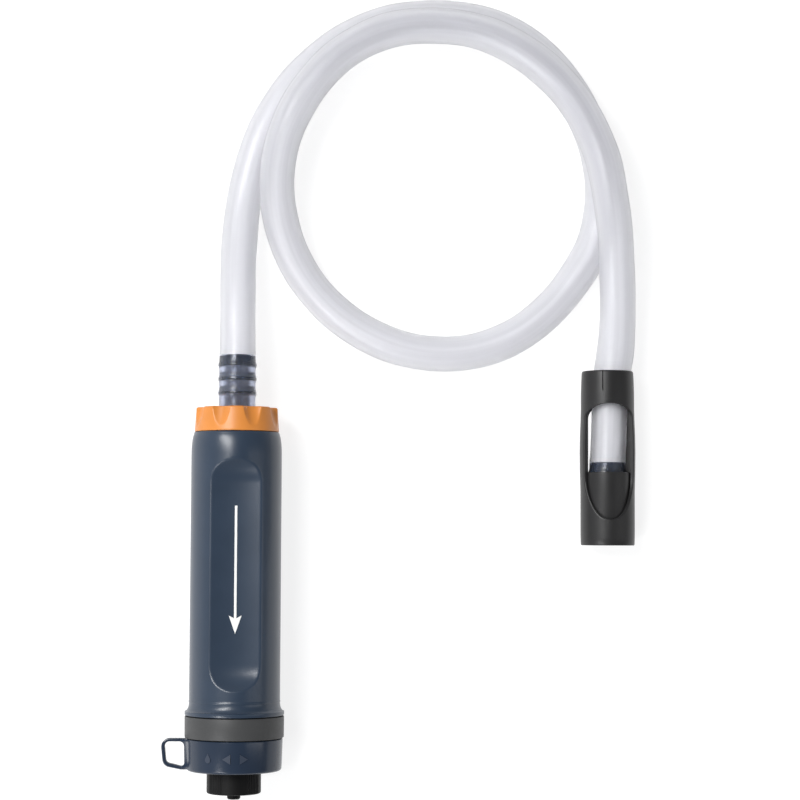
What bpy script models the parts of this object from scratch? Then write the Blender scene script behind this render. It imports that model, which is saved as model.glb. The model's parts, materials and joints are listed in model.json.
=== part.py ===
"""Inline hollow-fibre water filter with its hose and a quick coupling, lying flat.

The filter barrel and the coupling both lie along Y.  Each is modelled standing up
in a frame of its own: its axis is the frame's Z, which points towards the hose, and
its front is the frame's -Y, which faces up (+Z) when the part lies on a table.
The hose leaves the barrel, turns one and a half times and ends in the coupling.
Lengths below are in millimetres and become metres when a mesh is made.
"""
import math

import bmesh
import bpy
from mathutils import Matrix, Vector

MM = 0.001
GAP = 0.3
SEGMENTS = 48
INNER_SEGMENTS = 28

# Where the two axes lie: X, Y of the lower end, and height above the table
FILTER_PLACE = (3.85, -73.8, 16.5)
COUPLING_PLACE = (128.6, 10.6, 9.2)

# Filter barrel: stations along its axis, from the end of the outlet pin
NOZZLE_END = 2.0
CAP_BASE = 9.5
BAND_BASE = 20.4
LIP_BASE = 27.8
BARREL_BASE = 32.0
CHAMBER_BASE = 36.0
SHOULDER = 114.2
CHAMBER_TOP = 116.0
BARREL_TOP = 121.6
NECK_TOP = 125.3
RING_TOP = 129.9
HOSE_END = 129.2
BARB_TIP = 147.6

# Filter barrel: radii
LIP_RADIUS = 16.5
BARREL_RADIUS = 15.1
BARREL_TOP_RADIUS = 14.4
CHAMBER_RADIUS = 13.2
NECK_RADIUS = 10.9
NECK_BORE = 9.3
CARTRIDGE_RADIUS = 10.4
CAP_BORE = 14.2
CAP_HOLE = 9.6
NOZZLE_BORE = 6.2
NOZZLE_POINTS = 96
PIN_RADIUS = 2.2
OUTLET_RADIUS = 5.7

# Grip recesses in the front and the back of the barrel, a few degrees off the loop's normal
GRIP_TURN = 4.0
GRIP_HALF_WIDTH = 8.4
GRIP_BASE = 36.3
GRIP_TOP = 112.4
GRIP_DEPTH_FROM_AXIS = 12.2
GRIP_WALL = 1.5

# Grip scallops round the lock ring: eight hollows that cut deeper towards the hose
SCALLOP_COUNT = 8
SCALLOP_TURN = 26.5
SCALLOP_HOLLOW_RADIUS = 6.0
SCALLOP_HALF_WIDTH = 5.0

# Screw thread between the lock ring and the neck
THREAD_PITCH = 3.0
THREAD_WIDTH = 0.9

# Lanyard loop on the base cap
LOOP_HALF_THICKNESS = 1.25

# Hose and the barbs that it is pushed over
HOSE_RADIUS = 6.0
BARB_PEAK = 4.85
BARB_ROOT = 4.15
BARB_BORE = 2.8
BARB_SPACING = 4.7
BARB_COUNT = 3
HOSE_BULGE = 0.45

# Coupling: stations from its open mouth, and radii
CUP_BASE = 1.0
CUP_FLOOR = 7.4
CUP_TOP = 24.6
COUPLING_BARB_TIP = 28.0
SLEEVE_TOP = 58.7
CUP_RADIUS = 8.0
CUP_BORE = 6.9
SLEEVE_BORE = 8.25
COLLAR_BORE = 7.9
WINDOW_TURN = 1.0
WINDOW_BASE = 8.6
WINDOW_TOP = 47.6
FRONT_WINDOW_HALF_ANGLE = math.radians(63)
BACK_WINDOW_HALF_ANGLE = math.radians(46)
WINDOW_BOWL_HEIGHT = 14.9
WINDOW_ARCH_HEIGHT = 4.7

# Route of the hose's centre line, from the filter's barb to the coupling's barb
HOSE_ROUTE = (
    (3.85, 74.1, 16.5), (3.85, 80, 16.5), (3.8, 86, 16.2), (3.6, 96, 13.9), (3.4, 106, 10.8),
    (3.7, 115, 8.4), (4.4, 124, 6.8), (5.9, 133, 6.1), (8.8, 144, 6.05), (14.4, 157, 6.05),
    (24.8, 171.5, 6.05), (39.0, 183, 6.05), (54.5, 189.5, 6.05), (71, 191.2, 6.05),
    (87, 189, 6.05), (101.5, 182, 6.05), (113, 170.7, 6.05), (121, 157.4, 6.05),
    (126, 143.2, 6.05), (127.2, 128, 6.05), (124.4, 113.5, 6.05), (117.6, 101, 6.05),
    (108.4, 90, 6.05), (97.2, 81.5, 6.05), (84.5, 76.6, 6.05), (70.8, 75.4, 6.05),
    (57, 77.8, 6.05), (44.6, 83.4, 6.05), (34, 91.4, 6.2), (25.4, 101.7, 7.2),
    (19.6, 113.5, 9.3), (16.6, 127, 12.4), (17, 140, 15.4), (20.4, 152, 17.2),
    (27.8, 165, 18.2), (38.6, 176.2, 18.4), (53.5, 183.8, 18.4), (70, 185.6, 18.4),
    (86, 183.2, 18.4), (100.4, 176, 18.4), (112, 166, 18.4), (120, 155, 18.5),
    (126, 141.6, 18.5), (129, 127, 18.5), (130.6, 115, 17.4), (131.4, 104, 14.6),
    (131.9, 94, 11.9), (131.9, 84, 10.1), (131.3, 76, 9.4), (130.25, 69, 9.2),
    (129.55, 62, 9.2), (129.25, 55, 9.2), (129.05, 47, 9.2), (128.6, 38.9, 9.2),
)
HOSE_POINTS = 60

COLOURS = {
    "slate_plastic": ((0.042, 0.066, 0.094), 0.38),
    "navy_plastic": ((0.034, 0.048, 0.078), 0.40),
    "grey_plastic": ((0.090, 0.095, 0.092), 0.50),
    "orange_plastic": ((0.860, 0.330, 0.060), 0.45),
    "black_plastic": ((0.014, 0.014, 0.013), 0.50),
    "coupling_plastic": ((0.040, 0.040, 0.042), 0.48),
    "milky_hose": ((0.760, 0.770, 0.820), 0.30),
    "seal_rubber": ((0.012, 0.012, 0.012), 0.70),
    "white_plastic": ((0.800, 0.800, 0.780), 0.50),
    "membrane_fibre": ((0.880, 0.870, 0.820), 0.75),
    "potting_resin": ((0.720, 0.640, 0.420), 0.35),
    "filter_mesh": ((0.520, 0.540, 0.560), 0.60),
}


# ---------------------------------------------------------------- scene helpers

def clear_scene():
    for item in list(bpy.data.objects):
        bpy.data.objects.remove(item, do_unlink=True)


def make_material(name, colour, roughness):
    material = bpy.data.materials.new(name)
    material.use_nodes = True
    shader = material.node_tree.nodes["Principled BSDF"]
    shader.inputs["Base Color"].default_value = (*colour, 1.0)
    shader.inputs["Roughness"].default_value = roughness
    shader.inputs["Metallic"].default_value = 0.0
    material.diffuse_color = (*colour, 1.0)
    return material


def make_materials():
    for name, (colour, roughness) in COLOURS.items():
        make_material(name, colour, roughness)


def make_frame(name, place):
    """An empty whose Z lies along the table towards the hose."""
    frame = bpy.data.objects.new(name, None)
    frame.location = Vector(place) * MM
    frame.rotation_euler = (math.radians(-90), 0, 0)
    bpy.context.collection.objects.link(frame)
    return frame


def make_object(name, bm, parent, material=None):
    """Turn a bmesh in millimetres into an object in metres under its frame."""
    bmesh.ops.recalc_face_normals(bm, faces=bm.faces)
    bmesh.ops.scale(bm, vec=(MM, MM, MM), verts=bm.verts)
    mesh = bpy.data.meshes.new(name)
    bm.to_mesh(mesh)
    bm.free()
    mesh.shade_smooth()
    mesh.set_sharp_from_angle(angle=math.radians(32))
    item = bpy.data.objects.new(name, mesh)
    item.parent = parent
    if material:
        mesh.materials.append(bpy.data.materials[material])
    bpy.context.collection.objects.link(item)
    return item


def combine(target, bm, operation):
    """Cut the solid in bm out of target, or join it on."""
    tool = make_object(target.name + "_tool", bm, target.parent)
    tool.hide_render = True
    tool.display_type = "WIRE"
    modifier = target.modifiers.new(tool.name, "BOOLEAN")
    modifier.operation = operation
    modifier.solver = "EXACT"
    modifier.object = tool


# ---------------------------------------------------------------- shape helpers

def turned(outline, segments=SEGMENTS):
    """Spin an outline of (radius, height) points about Z; it closes on the axis or on itself."""
    bm = bmesh.new()
    verts = [bm.verts.new((radius, 0, height)) for radius, height in outline]
    edges = [bm.edges.new(pair) for pair in zip(verts, verts[1:])]
    if outline[0][0] > 0:
        edges.append(bm.edges.new((verts[-1], verts[0])))
    bmesh.ops.spin(
        bm, geom=verts + edges, cent=(0, 0, 0), axis=(0, 0, 1), angle=math.tau, steps=segments
    )
    bmesh.ops.remove_doubles(bm, verts=bm.verts, dist=0.0001)
    return bm


def ring(inner, outer, base, top):
    """Outline of a flat ring or a plain tube."""
    return [(inner, base), (outer, base), (outer, top), (inner, top)]


def disc(radius, base, top):
    """Outline of a solid disc or rod."""
    return [(0, base), (radius, base), (radius, top), (0, top)]


def round_section(radius, height, thickness):
    """Outline of an O-ring."""
    return arc((radius, height), (thickness, thickness), 0, 300, 5)


def arc(centre, radii, start, end, steps):
    """Points on an ellipse quarter or any other stretch of it, angles in degrees."""
    points = []
    for index in range(steps + 1):
        angle = math.radians(start + (end - start) * index / steps)
        points.append((centre[0] + radii[0] * math.cos(angle), centre[1] + radii[1] * math.sin(angle)))
    return points


def rounded(corners, steps=5):
    """Polygon from (x, y, corner radius) corners, each rounded with a tangent arc."""
    points = []
    for index, (x, y, radius) in enumerate(corners):
        here = Vector((x, y))
        before = (Vector(corners[index - 1][:2]) - here).normalized()
        after = (Vector(corners[(index + 1) % len(corners)][:2]) - here).normalized()
        if radius == 0:
            points.append((x, y))
            continue
        half = before.angle(after) / 2
        centre = here + (before + after).normalized() * radius / math.sin(half)
        start = here + before * radius / math.tan(half) - centre
        sweep = start.angle_signed(here + after * radius / math.tan(half) - centre)
        for step in range(steps + 1):
            turned_by = -sweep * step / steps
            points.append(tuple(centre + Matrix.Rotation(turned_by, 2) @ start))
    return points


def loft(rings):
    """Skin a list of point loops that all have the same length, with flat ends."""
    bm = bmesh.new()
    rows = [[bm.verts.new(point) for point in points] for points in rings]
    for lower, upper in zip(rows, rows[1:]):
        for index in range(len(lower)):
            bm.faces.new((lower[index - 1], lower[index], upper[index], upper[index - 1]))
    bm.faces.new(rows[0])
    bm.faces.new(rows[-1])
    return bm


def prism(outline, base, top):
    """Extrude an outline in X and Y from one height to another."""
    return loft([[(x, y, height) for x, y in outline] for height in (base, top)])


def move(bm, offset):
    bmesh.ops.translate(bm, vec=offset, verts=bm.verts)
    return bm


def turn(bm, degrees, axis):
    rotation = Matrix.Rotation(math.radians(degrees), 3, axis)
    bmesh.ops.rotate(bm, verts=bm.verts, cent=(0, 0, 0), matrix=rotation)
    return bm


def around(bm, count):
    """Repeat everything in bm at equal angles about Z."""
    source = bm.verts[:] + bm.edges[:] + bm.faces[:]
    for index in range(1, count):
        copied = bmesh.ops.duplicate(bm, geom=source)["geom"]
        verts = [item for item in copied if isinstance(item, bmesh.types.BMVert)]
        spin = Matrix.Rotation(math.tau * index / count, 3, "Z")
        bmesh.ops.rotate(bm, verts=verts, cent=(0, 0, 0), matrix=spin)
    return bm


def thread_ridge(root, crest, height, start, end):
    """One helical ridge between two angles in degrees; height is its middle at angle 0."""
    rings = []
    for index in range(int((end - start) / 10) + 1):
        degrees = start + index * 10
        angle = math.radians(degrees)
        middle = height + THREAD_PITCH * degrees / 360
        section = ((root, -0.5), (crest, -0.3), (crest, 0.3), (root, 0.5))
        points = []
        for radius, share in section:
            points.append((radius * math.cos(angle), radius * math.sin(angle), middle + share * THREAD_WIDTH))
        rings.append(points)
    return loft(rings)


def barb_outline(base, tip):
    """Outer side of a hose barb from its root up to its tip."""
    points = [(BARB_ROOT, base)]
    for index in range(BARB_COUNT):
        peak = tip - 3.7 - (BARB_COUNT - 1 - index) * BARB_SPACING
        points.append((BARB_ROOT, peak - 0.5))
        points.append((BARB_PEAK, peak))
        points.append((BARB_PEAK, peak + 0.5))
    points.append((BARB_ROOT - 0.2, tip))
    return points


def make_hose_end(name, base, tip, parent):
    """The end of the hose, stretched over a barb."""
    outline = [(BARB_PEAK + GAP, tip), (BARB_PEAK + GAP, base), (HOSE_RADIUS, base)]
    for row in reversed(range(BARB_COUNT)):
        peak = tip - 3.7 - row * BARB_SPACING
        outline.append((HOSE_RADIUS + 0.1, peak - 1.6))
        outline.append((HOSE_RADIUS + HOSE_BULGE, peak))
        outline.append((HOSE_RADIUS + 0.15, peak + 1.6))
    outline.append((HOSE_RADIUS, tip))
    make_object(name, turned(outline, INNER_SEGMENTS), parent, "milky_hose")


# ---------------------------------------------------------------- filter: casing

def grip_cutter():
    """Scooped pocket: a long flat floor that rises at both ends, inside a stadium outline."""
    rings = []
    for share in (0, 0.06, 0.15, 0.3, 0.5, 0.75, 1.0):
        rings.append(grip_section(GRIP_BASE + GRIP_HALF_WIDTH * share, share))
    for share in (1.0, 0.75, 0.5, 0.3, 0.15, 0.06, 0):
        rings.append(grip_section(GRIP_TOP - GRIP_HALF_WIDTH * share, share))
    return loft(rings)


def grip_section(height, share):
    """Cross-section of the pocket; share runs from 0 at its tip to 1 where it is full width."""
    width = GRIP_HALF_WIDTH * math.sqrt(max(1 - (1 - share) ** 2, 0.0004))
    depth = GRIP_DEPTH_FROM_AXIS + 2.3 * max(1 - share / 0.8, 0) ** 2
    outside = LIP_RADIUS + 2
    floor = [(-width, -depth, height), (width, -depth, height)]
    return floor + [(width, -outside, height), (-width, -outside, height)]


def chamber_cutter():
    """Inside of the barrel between its ends, flattened behind the two grip recesses."""
    flat = GRIP_DEPTH_FROM_AXIS - GRIP_WALL
    outline = []
    for index in range(SEGMENTS):
        angle = math.tau * (index + 0.5) / SEGMENTS
        side = CHAMBER_RADIUS * math.sin(angle)
        outline.append((CHAMBER_RADIUS * math.cos(angle), max(-flat, min(flat, side))))
    return prism(outline, CHAMBER_BASE - 0.5, CHAMBER_TOP)


def make_housing(frame):
    outline = [(CHAMBER_RADIUS, LIP_BASE), (LIP_RADIUS - 0.2, LIP_BASE), (LIP_RADIUS, LIP_BASE + 0.2)]
    outline += arc((LIP_RADIUS, BARREL_BASE), (LIP_RADIUS - BARREL_RADIUS, 3.0), -90, -180, 4)
    outline += arc((BARREL_TOP_RADIUS - 0.6, SHOULDER), (1.3, BARREL_TOP - SHOULDER), 0, 62, 4)
    outline += [(BARREL_TOP_RADIUS - 0.3, BARREL_TOP), (NECK_RADIUS, BARREL_TOP)]
    outline += [(NECK_RADIUS, NECK_TOP - 0.4), (NECK_RADIUS - 0.4, NECK_TOP), (NECK_BORE, NECK_TOP)]
    bore = GRIP_DEPTH_FROM_AXIS - GRIP_WALL
    outline += [(NECK_BORE, CHAMBER_TOP), (bore, CHAMBER_TOP)]
    outline += [(bore, CHAMBER_BASE), (CHAMBER_RADIUS, CHAMBER_BASE)]
    shell = make_object("housing_shell", turned(outline), frame, "slate_plastic")
    combine(shell, turn(chamber_cutter(), GRIP_TURN, "Z"), "DIFFERENCE")
    combine(shell, turn(grip_cutter(), GRIP_TURN, "Z"), "DIFFERENCE")
    combine(shell, turn(grip_cutter(), GRIP_TURN + 180, "Z"), "DIFFERENCE")
    combine(shell, thread_ridge(NECK_RADIUS - 0.3, NECK_RADIUS + 0.6, 122.95, 0, 190), "UNION")


def make_adapter_band(frame):
    """Collar between the barrel and the base cap, with a spigot into each of them."""
    top = LIP_BASE - GAP
    outline = [(11.4, 16.3), (13.8, 16.3), (13.8, 17.9), (13.1, 17.9), (13.1, 19.3), (13.8, 19.3)]
    outline += [(13.8, BAND_BASE), (16.2, BAND_BASE), (16.45, BAND_BASE + 0.3), (LIP_RADIUS, top - 0.3)]
    outline += [(LIP_RADIUS - 0.3, top), (12.8, top), (12.8, 29.3), (12.0, 29.3), (12.0, 30.7), (12.8, 30.7)]
    outline += [(12.8, 33.0), (11.4, 33.0)]
    make_object("adapter_band", turned(outline), frame, "grey_plastic")
    make_object("band_o_ring", turned(round_section(12.55, 30.0, 0.38), INNER_SEGMENTS), frame, "seal_rubber")
    make_object("cap_o_ring", turned(round_section(13.65, 18.6, 0.33), INNER_SEGMENTS), frame, "seal_rubber")


# ---------------------------------------------------------------- filter: hose end

def make_lock_ring(frame):
    """Orange screw ring that holds the barb down on the neck, with eight grip scallops."""
    base = BARREL_TOP + GAP
    outline = [(12.0, base), (13.9, base), (14.1, base + 0.2)]
    outline += arc((13.0, RING_TOP - 0.6), (0.6, 0.6), 0, 90, 3)
    outline += [(6.6, RING_TOP), (6.6, 128.4), (12.0, 128.4)]
    body = make_object("lock_ring", turned(outline, 56), frame, "orange_plastic")
    combine(body, around(scallop_cutter(), SCALLOP_COUNT), "DIFFERENCE")
    female = thread_ridge(NECK_RADIUS + 0.35, 12.3, 124.45, -90, 190)
    combine(body, female, "UNION")


def scallop_cutter():
    """Sliver with a hollow-ground inner side, leaning so that it cuts deepest at the top."""
    rings = []
    for height, nearest in ((123.6, 14.1), (131.0, 11.65)):
        points = []
        for index in range(9):
            x = SCALLOP_HALF_WIDTH * (index / 4 - 1)
            sag = SCALLOP_HOLLOW_RADIUS - math.sqrt(SCALLOP_HOLLOW_RADIUS ** 2 - x ** 2)
            points.append((x, -(nearest + sag), height))
        points += [(SCALLOP_HALF_WIDTH, -18.0, height), (-SCALLOP_HALF_WIDTH, -18.0, height)]
        rings.append(points)
    return turn(loft(rings), SCALLOP_TURN, "Z")


def make_hose_barb(frame):
    outline = [(6.0, 120.0), (8.9, 120.0), (8.9, 121.3), (8.1, 121.3), (8.1, 122.7), (8.9, 122.7)]
    outline += [(8.9, NECK_TOP + GAP), (10.2, NECK_TOP + GAP), (10.2, 127.1), (5.2, 127.1)]
    outline += [(5.2, HOSE_END - GAP)]
    outline += barb_outline(HOSE_END - GAP, BARB_TIP)
    outline += [(BARB_BORE, BARB_TIP), (BARB_BORE, 125.0)]
    make_object("hose_barb", turned(outline, INNER_SEGMENTS), frame, "navy_plastic")
    make_object("barb_o_ring", turned(round_section(8.68, 122.0, 0.35), INNER_SEGMENTS), frame, "seal_rubber")
    make_object("lock_washer", turned(ring(6.7, 10.6, 127.4, 128.1), INNER_SEGMENTS), frame, "white_plastic")


# ---------------------------------------------------------------- filter: inside

def make_cartridge(frame):
    """Membrane cartridge: a slotted sleeve round a bundle of fibres potted in resin."""
    tube = turned(ring(9.6, CARTRIDGE_RADIUS, 36.3, 114.0), INNER_SEGMENTS)
    sleeve = make_object("cartridge_sleeve", tube, frame, "white_plastic")
    for height in (48.0, 68.0, 88.0):
        slot = prism([(-1.6, -12), (1.6, -12), (1.6, 12), (-1.6, 12)], height, height + 12.0)
        combine(sleeve, slot, "DIFFERENCE")
    make_object("potting_disc", turned(disc(9.2, 36.5, 40.0), INNER_SEGMENTS), frame, "potting_resin")
    make_object("fibre_bundle", fibre_bundle(), frame, "membrane_fibre")
    base_disc = turned(disc(12.8, 33.3, CHAMBER_BASE - GAP), INNER_SEGMENTS)
    plate = make_object("cartridge_base", base_disc, frame, "white_plastic")
    hole = around(move(turned(disc(1.5, 32.0, 37.0), 12), (5.6, 0, 0)), 8)
    combine(plate, hole, "DIFFERENCE")


def fibre_bundle():
    """Fluted bundle with the looped ends of the fibres as its domed top."""
    rings = []
    for height, radius in ((40.3, 8.9), (104.0, 8.9), (108.5, 8.2), (111.0, 6.6), (112.2, 4.2)):
        points = []
        for index in range(60):
            angle = math.tau * index / 60
            flute = radius - 0.5 * (index % 3 == 0)
            points.append((flute * math.cos(angle), flute * math.sin(angle), height))
        rings.append(points)
    return loft(rings)


def make_prefilter(frame):
    """Strainer at the inlet: a spoked support, a fine mesh disc and its retaining ring."""
    support = turned(disc(9.0, 116.2, 117.0), INNER_SEGMENTS)
    grid = make_object("prefilter_grid", support, frame, "white_plastic")
    quarter = rounded([(1.2, 1.2, 0.4), (7.0, 1.2, 0.4), (5.0, 5.0, 0.4), (1.2, 7.0, 0.4)], 3)
    combine(grid, around(prism(quarter, 115.5, 117.5), 4), "DIFFERENCE")
    make_object("prefilter_mesh", turned(disc(9.0, 117.3, 117.9), INNER_SEGMENTS), frame, "filter_mesh")
    retainer = turned(ring(7.2, 9.0, 118.2, 119.6), INNER_SEGMENTS)
    make_object("prefilter_retainer", retainer, frame, "white_plastic")


# ---------------------------------------------------------------- filter: outlet end

def make_base_cap(frame):
    """Turning cap with the lanyard loop; it carries the outlet neck and the nozzle."""
    top = BAND_BASE - GAP
    outline = [(CAP_HOLE, CAP_BASE), (14.7, CAP_BASE)]
    outline += arc((14.8, CAP_BASE + 0.95), (0.95, 0.95), -90, 0, 4)
    outline += [(16.1, top - 0.2), (15.95, top), (CAP_BORE, top)]
    outline += [(CAP_BORE, CAP_BASE + 2), (CAP_HOLE, CAP_BASE + 2)]
    cap = make_object("base_cap", turned(outline), frame, "navy_plastic")
    loop = [(-24.43, top, 2.8), (-15.0, top, 0), (-15.0, 9.7, 0), (-17.6, 9.7, 1.0), (-23.5, 10.9, 2.6)]
    combine(cap, loop_plate(rounded(loop), LOOP_HALF_THICKNESS), "UNION")
    gusset = [(-15.0, 0), (-13.5, -7.9), (-17.6, -LOOP_HALF_THICKNESS)]
    gusset += [(-17.6, LOOP_HALF_THICKNESS), (-13.5, 7.9)]
    combine(cap, prism(gusset, CAP_BASE + 0.6, top - 0.2), "UNION")
    hole = rounded([(-23.1, 18.95, 1.5), (-16.4, 18.95, 1.5), (-16.15, 10.8, 1.6), (-22.4, 12.1, 1.5)])
    combine(cap, loop_plate(hole, 10.0), "DIFFERENCE")


def loop_plate(outline, half_thickness):
    """Plate in the X-Z plane, from an outline of X and height."""
    return loft([[(x, side, height) for x, height in outline] for side in (half_thickness, -half_thickness)])


def make_outlet(frame):
    """Outlet neck with its ported valve flange and fixed pin, and the fixed plate it turns on."""
    outline = [(4.4, 5.8), (OUTLET_RADIUS, 5.8), (OUTLET_RADIUS, 6.8), (5.0, 6.8), (5.0, 8.0)]
    outline += [(OUTLET_RADIUS, 8.0), (OUTLET_RADIUS, 14.6), (13.5, 14.6), (13.5, 16.0), (4.4, 16.0)]
    neck = make_object("outlet_neck", turned(outline, INNER_SEGMENTS), frame, "black_plastic")
    window = around(prism([(3.0, -1.2), (6.5, -1.2), (6.5, 1.2), (3.0, 1.2)], 12.4, 14.2), 3)
    combine(neck, window, "DIFFERENCE")
    combine(neck, around(sector_port(), 2), "DIFFERENCE")
    lid = turned(disc(4.9, 14.8, 16.0), 20)
    combine(neck, lid, "UNION")
    head = [(0, 0), (PIN_RADIUS - 0.4, 0), (PIN_RADIUS, 0.4), (PIN_RADIUS, 2.9)]
    pin = turned(head + [(1.5, 3.6), (1.5, 15.4), (0, 15.4)], 24)
    combine(neck, pin, "UNION")
    make_object("neck_o_ring", turned(round_section(5.6, 7.4, 0.33), INNER_SEGMENTS), frame, "seal_rubber")
    plate = make_object("valve_plate", turned(disc(11.1, 16.3, 17.7), INNER_SEGMENTS), frame, "white_plastic")
    combine(plate, turn(around(sector_port(), 2), 90, "Z"), "DIFFERENCE")


def sector_port():
    """Cutter for a curved port a quarter of a turn long."""
    outline = arc((0, 0), (10.0, 10.0), -38, 38, 8) + arc((0, 0), (6.6, 6.6), 38, -38, 8)
    return prism(outline, 14.0, 18.2)


def make_nozzle(frame):
    """Ribbed nozzle that screws out along the neck and uncovers the end of the pin."""
    stations = ((NOZZLE_END, 8.4, 0), (2.35, 8.85, 0), (2.9, 9.0, 1), (9.2, 9.0, 1), (11.2, 9.0, 0))
    rings = []
    for height, radius, rib in stations:
        rings.append([nozzle_point(index, radius, rib, height) for index in range(NOZZLE_POINTS)])
    nozzle = make_object("outlet_nozzle", loft(rings), frame, "black_plastic")
    bore = [(0, 1.0), (2.5, 1.0), (2.5, 3.3), (NOZZLE_BORE, 4.2), (NOZZLE_BORE, 12.0), (0, 12.0)]
    combine(nozzle, turned(bore, INNER_SEGMENTS), "DIFFERENCE")
    make_object("nozzle_washer", turned(ring(6.3, 8.9, 11.5, 12.1), INNER_SEGMENTS), frame, "white_plastic")


def nozzle_point(index, radius, rib, height):
    """Point on the nozzle's side; six patches of fine ribs stand out from it."""
    angle = math.tau * index / NOZZLE_POINTS
    in_patch = math.cos(angle * 6) > -0.2
    reach = radius + (0.2 * rib if in_patch and index % 2 == 0 else 0)
    return (reach * math.cos(angle), reach * math.sin(angle), height)


# ---------------------------------------------------------------- coupling

def window_cutter(half_angle):
    """Wedge with radial sides: flat oval arch towards the hose, deep bowl towards the mouth."""
    rings = []
    for degrees in (2, 12, 25, 40, 57, 75, 90):
        angle = math.radians(degrees)
        height = WINDOW_BASE + WINDOW_BOWL_HEIGHT * (1 - math.cos(angle))
        rings.append(wedge(math.sin(angle) * math.sin(half_angle), height))
    for degrees in (90, 70, 50, 32, 16, 3):
        angle = math.radians(degrees)
        height = WINDOW_TOP - WINDOW_ARCH_HEIGHT * (1 - math.cos(angle))
        rings.append(wedge(math.sin(angle) * math.sin(half_angle), height))
    return loft(rings)


def wedge(sine, height):
    """Sector of a circle, from the sine of half its angle."""
    half = math.asin(sine)
    points = []
    for index in range(9):
        angle = half * (index / 4 - 1)
        points.append((12 * math.sin(angle), -12 * math.cos(angle), height))
    points.append((4 * math.sin(half), -4 * math.cos(half), height))
    points.append((-4 * math.sin(half), -4 * math.cos(half), height))
    return points


def make_sleeve(frame):
    """Sliding sleeve with two see-through windows and a slit collar round the hose."""
    outline = [(SLEEVE_BORE, 0), (8.75, 0), (9.05, 0.35), (9.15, 5.0), (9.15, 18.0), (9.32, 25.0)]
    outline += [(9.4, 31.4), (9.3, 37.0), (9.1, 42.0), (9.0, 46.0), (8.98, 51.0), (8.85, 55.5)]
    outline += [(8.7, SLEEVE_TOP - 0.3)]
    outline += [(8.5, SLEEVE_TOP), (8.25, SLEEVE_TOP), (COLLAR_BORE, SLEEVE_TOP - 0.6), (COLLAR_BORE, 51.0)]
    outline += [(SLEEVE_BORE, 49.4)]
    sleeve = make_object("coupling_sleeve", turned(outline, 56), frame, "coupling_plastic")
    front = turn(window_cutter(FRONT_WINDOW_HALF_ANGLE), WINDOW_TURN, "Z")
    back = turn(window_cutter(BACK_WINDOW_HALF_ANGLE), WINDOW_TURN + 180, "Z")
    combine(sleeve, front, "DIFFERENCE")
    combine(sleeve, back, "DIFFERENCE")
    slit = prism([(-2.8, -12), (-2.2, -12), (-2.2, -5), (-2.8, -5)], 51.8, SLEEVE_TOP + 1)
    combine(sleeve, turn(slit, WINDOW_TURN, "Z"), "DIFFERENCE")


def make_coupling_core(frame):
    """Cup with the mating socket, and the barbed insert that the hose is pushed over."""
    outline = [(CUP_BORE, CUP_BASE), (CUP_RADIUS - 0.3, CUP_BASE), (CUP_RADIUS, CUP_BASE + 0.3)]
    outline += [(CUP_RADIUS, CUP_TOP - 0.5), (CUP_RADIUS - 0.35, CUP_TOP), (CUP_BORE + 0.2, CUP_TOP)]
    outline += [(CUP_BORE, CUP_TOP - 0.3), (CUP_BORE, 9.2), (4.3, 9.2)]
    outline += [(4.3, CUP_FLOOR), (CUP_BORE, CUP_FLOOR)]
    make_object("coupling_cup", turned(outline), frame, "coupling_plastic")
    outline = [(2.0, 5.1), (4.0, 5.1), (4.0, 5.5), (3.3, 5.5), (3.3, 6.8), (4.0, 6.8), (4.0, 9.5)]
    outline += [(6.6, 9.5), (6.6, 11.4)] + barb_outline(11.4, COUPLING_BARB_TIP)
    outline += [(BARB_BORE, COUPLING_BARB_TIP), (BARB_BORE, 8.0), (2.0, 7.0)]
    make_object("coupling_barb", turned(outline, INNER_SEGMENTS), frame, "navy_plastic")
    seal = turned(round_section(3.95, 6.2, 0.33), INNER_SEGMENTS)
    make_object("coupling_o_ring", seal, frame, "seal_rubber")


# ---------------------------------------------------------------- hose

def smooth_route(points, count):
    """Even samples along a centripetal Catmull-Rom curve through the route's points."""
    route = [Vector(point) for point in points]
    padded = [route[0] * 2 - route[1]] + route + [route[-1] * 2 - route[-2]]
    dense = []
    for before, start, end, after in zip(padded, padded[1:], padded[2:], padded[3:]):
        for step in range(12):
            dense.append(catmull_rom(before, start, end, after, step / 12))
    dense.append(route[-1])
    lengths = [0.0]
    for one, two in zip(dense, dense[1:]):
        lengths.append(lengths[-1] + (two - one).length)
    samples = []
    place = 0
    for index in range(count):
        wanted = lengths[-1] * index / (count - 1)
        while place < len(dense) - 2 and lengths[place + 1] < wanted:
            place += 1
        share = (wanted - lengths[place]) / (lengths[place + 1] - lengths[place])
        samples.append(dense[place].lerp(dense[place + 1], min(share, 1.0)))
    return samples


def catmull_rom(before, start, end, after, share):
    """Point between start and end, with knots spaced by the square root of the distance."""
    knots = [0.0]
    for one, two in ((before, start), (start, end), (end, after)):
        knots.append(knots[-1] + math.sqrt((two - one).length))
    at = knots[1] + (knots[2] - knots[1]) * share
    first = before.lerp(start, at / knots[1])
    second = start.lerp(end, (at - knots[1]) / (knots[2] - knots[1]))
    third = end.lerp(after, (at - knots[2]) / (knots[3] - knots[2]))
    low = first.lerp(second, at / knots[2])
    high = second.lerp(third, (at - knots[1]) / (knots[3] - knots[1]))
    return low.lerp(high, share)


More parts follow.
